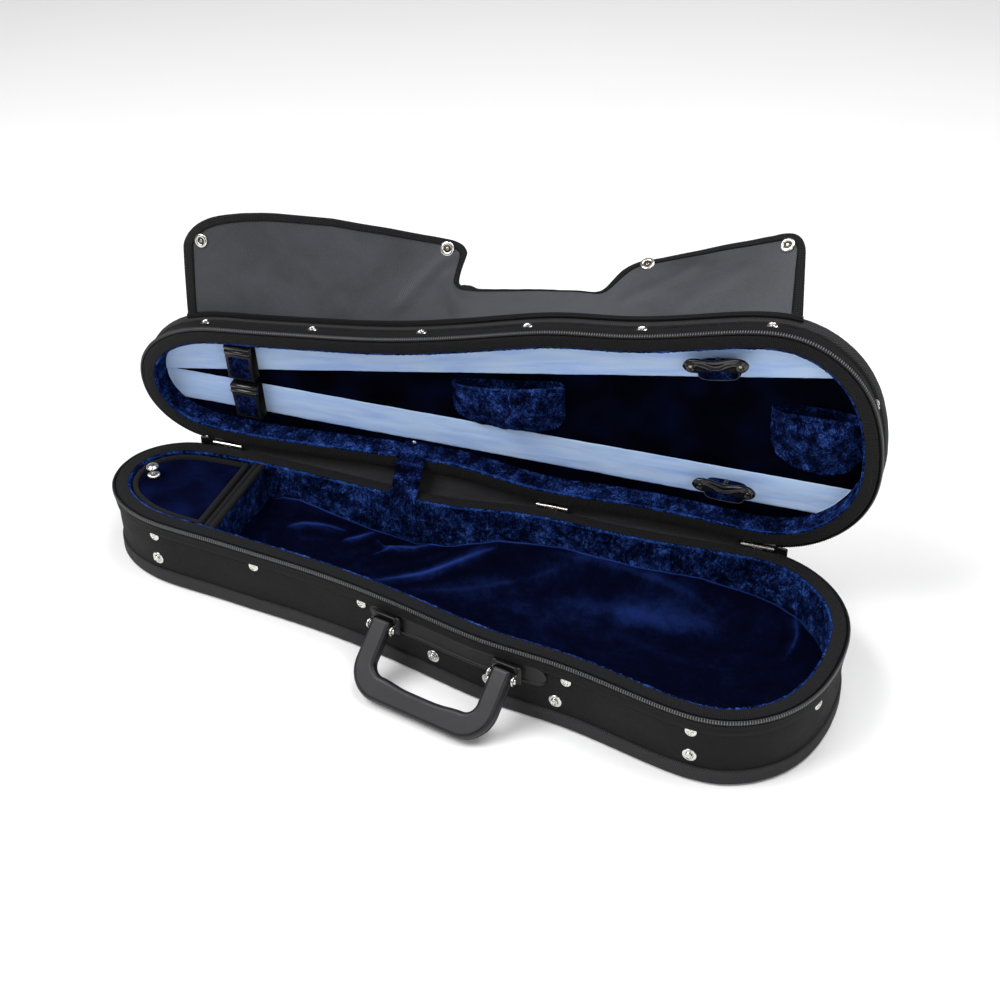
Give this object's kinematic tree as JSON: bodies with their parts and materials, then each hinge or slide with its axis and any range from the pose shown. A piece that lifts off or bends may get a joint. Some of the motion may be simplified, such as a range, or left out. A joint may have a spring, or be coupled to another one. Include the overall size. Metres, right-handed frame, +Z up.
{
  "type": "violin case",
  "caption": "Shaped violin case with a zipped, hinged lid, snap-down rain flap, carrying handle, neck-end compartment, and bow holders and pouches inside the lid.",
  "frame": {"origin": "on the underside of the bottom board, 132 mm in front of the hinge line and 395 mm from the neck end", "axes": "+X along the case from the neck end to the body end, +Y towards the hinges, +Z up"},
  "size_m": [0.7997, 0.3644, 0.3951],
  "materials": {
    "covered_board": "stiff board covered in black nylon",
    "black_nylon": "woven black nylon, matte",
    "binding_tape": "black twill tape, matte",
    "zip_coil": "black coil zip, satin",
    "crushed_velvet": "crushed blue velvet",
    "navy_plush": "smooth dark navy plush",
    "padded_velvet": "blue velvet over a pad",
    "satin_ribbon": "light blue satin",
    "black_gloss_plastic": "moulded, glossy",
    "nickel": "bright nickel plate",
    "moulded_handle": "moulded, fine leather grain, satin",
    "dark_metal": "black lacquered zinc",
    "flap_lining": "coated grey lining, black outside"
  },
  "bodies": {
    "base": {"base_shell": "covered_board", "base_cover": "black_nylon", "base_bottom_binding": "binding_tape", "base_zip_tape": "binding_tape", "base_zip_coil": "zip_coil", "base_rim_trim": "binding_tape", "base_wall_lining": "crushed_velvet", "base_bed": "navy_plush", "violin_blanket": "navy_plush", "compartment_partition": "crushed_velvet", "compartment_partition_trim": "binding_tape", "handle_mount_strip": "moulded_handle", "handle_bracket_left": "nickel", "handle_bracket_right": "nickel", "snap_stud_1": "nickel", "snap_stud_2": "nickel", "snap_stud_3": "nickel", "snap_stud_4": "nickel", "snap_stud_5": "nickel", "snap_stud_6": "nickel", "hinge_1_base": "nickel", "hinge_2_base": "nickel", "hinge_3_base": "nickel", "lid_stay_strap": "crushed_velvet", "back_gusset": "black_nylon", "zip_slider_neck": "dark_metal", "zip_slider_body": "dark_metal"},
    "compartment_lid": {"compartment_lid_board": "navy_plush", "compartment_lid_binding": "binding_tape", "compartment_knob": "nickel"},
    "handle": {"handle_grip": "moulded_handle"},
    "lid": {"lid_shell": "covered_board", "lid_cover": "black_nylon", "lid_top_binding": "binding_tape", "lid_zip_tape": "binding_tape", "lid_zip_coil": "zip_coil", "lid_rim_trim": "binding_tape", "lid_wall_lining": "crushed_velvet", "lid_panel_pad": "navy_plush", "bow_ribbon_back": "satin_ribbon", "bow_ribbon_front": "satin_ribbon", "bow_tip_pocket_front": "padded_velvet", "bow_tip_pocket_back": "padded_velvet", "bow_tip_clip_front": "black_gloss_plastic", "bow_tip_clip_back": "black_gloss_plastic", "bow_cradle_front": "padded_velvet", "bow_cradle_back": "padded_velvet", "lid_pouch_middle": "crushed_velvet", "lid_pouch_end": "crushed_velvet", "hinge_1_lid": "nickel", "hinge_2_lid": "nickel", "hinge_3_lid": "nickel"},
    "bow_spinner_front": {"bow_spinner_front": "black_gloss_plastic"},
    "bow_spinner_back": {"bow_spinner_back": "black_gloss_plastic"},
    "rain_flap": {"rain_flap": "flap_lining", "rain_flap_tongue": "black_nylon", "snap_socket_1": "nickel", "snap_socket_2": "nickel", "snap_socket_3": "nickel", "snap_socket_4": "nickel"}
  },
  "joints": [
    {"name": "lid_hinge", "type": "hinge", "parent": "base", "child": "lid", "pos_m": [0, 0.132, 0.082], "axis": [1, 0, 0], "range_deg": [0, 84.5], "deforming": ["lid_stay_strap", "back_gusset"]},
    {"name": "compartment_hinge", "type": "hinge", "parent": "base", "child": "compartment_lid", "pos_m": [-0.2691, 0.055, 0.0787], "axis": [0, -1, 0], "range_deg": [-100, 0]},
    {"name": "handle_pivot", "type": "hinge", "parent": "base", "child": "handle", "pos_m": [0.02603, -0.08802, 0.054], "axis": [0.9742, -0.2258, 0], "range_deg": [-85, 38]},
    {"name": "rain_flap_hinge", "type": "hinge", "parent": "lid", "child": "rain_flap", "pos_m": [-0.342, 0.14402, 0.23482], "axis": [0.9841, -0.0169, 0.1766], "range_deg": [0, 50]},
    {"name": "bow_spinner_front_turn", "type": "hinge", "parent": "lid", "child": "bow_spinner_front", "pos_m": [0.232, 0.12008, 0.29081], "axis": [0, 0.9955, 0.0951], "range_deg": [-22, 22]},
    {"name": "bow_spinner_back_turn", "type": "hinge", "parent": "lid", "child": "bow_spinner_back", "pos_m": [0.245, 0.13421, 0.14299], "axis": [0, 0.9955, 0.0951], "range_deg": [-90, 90]}
  ]
}
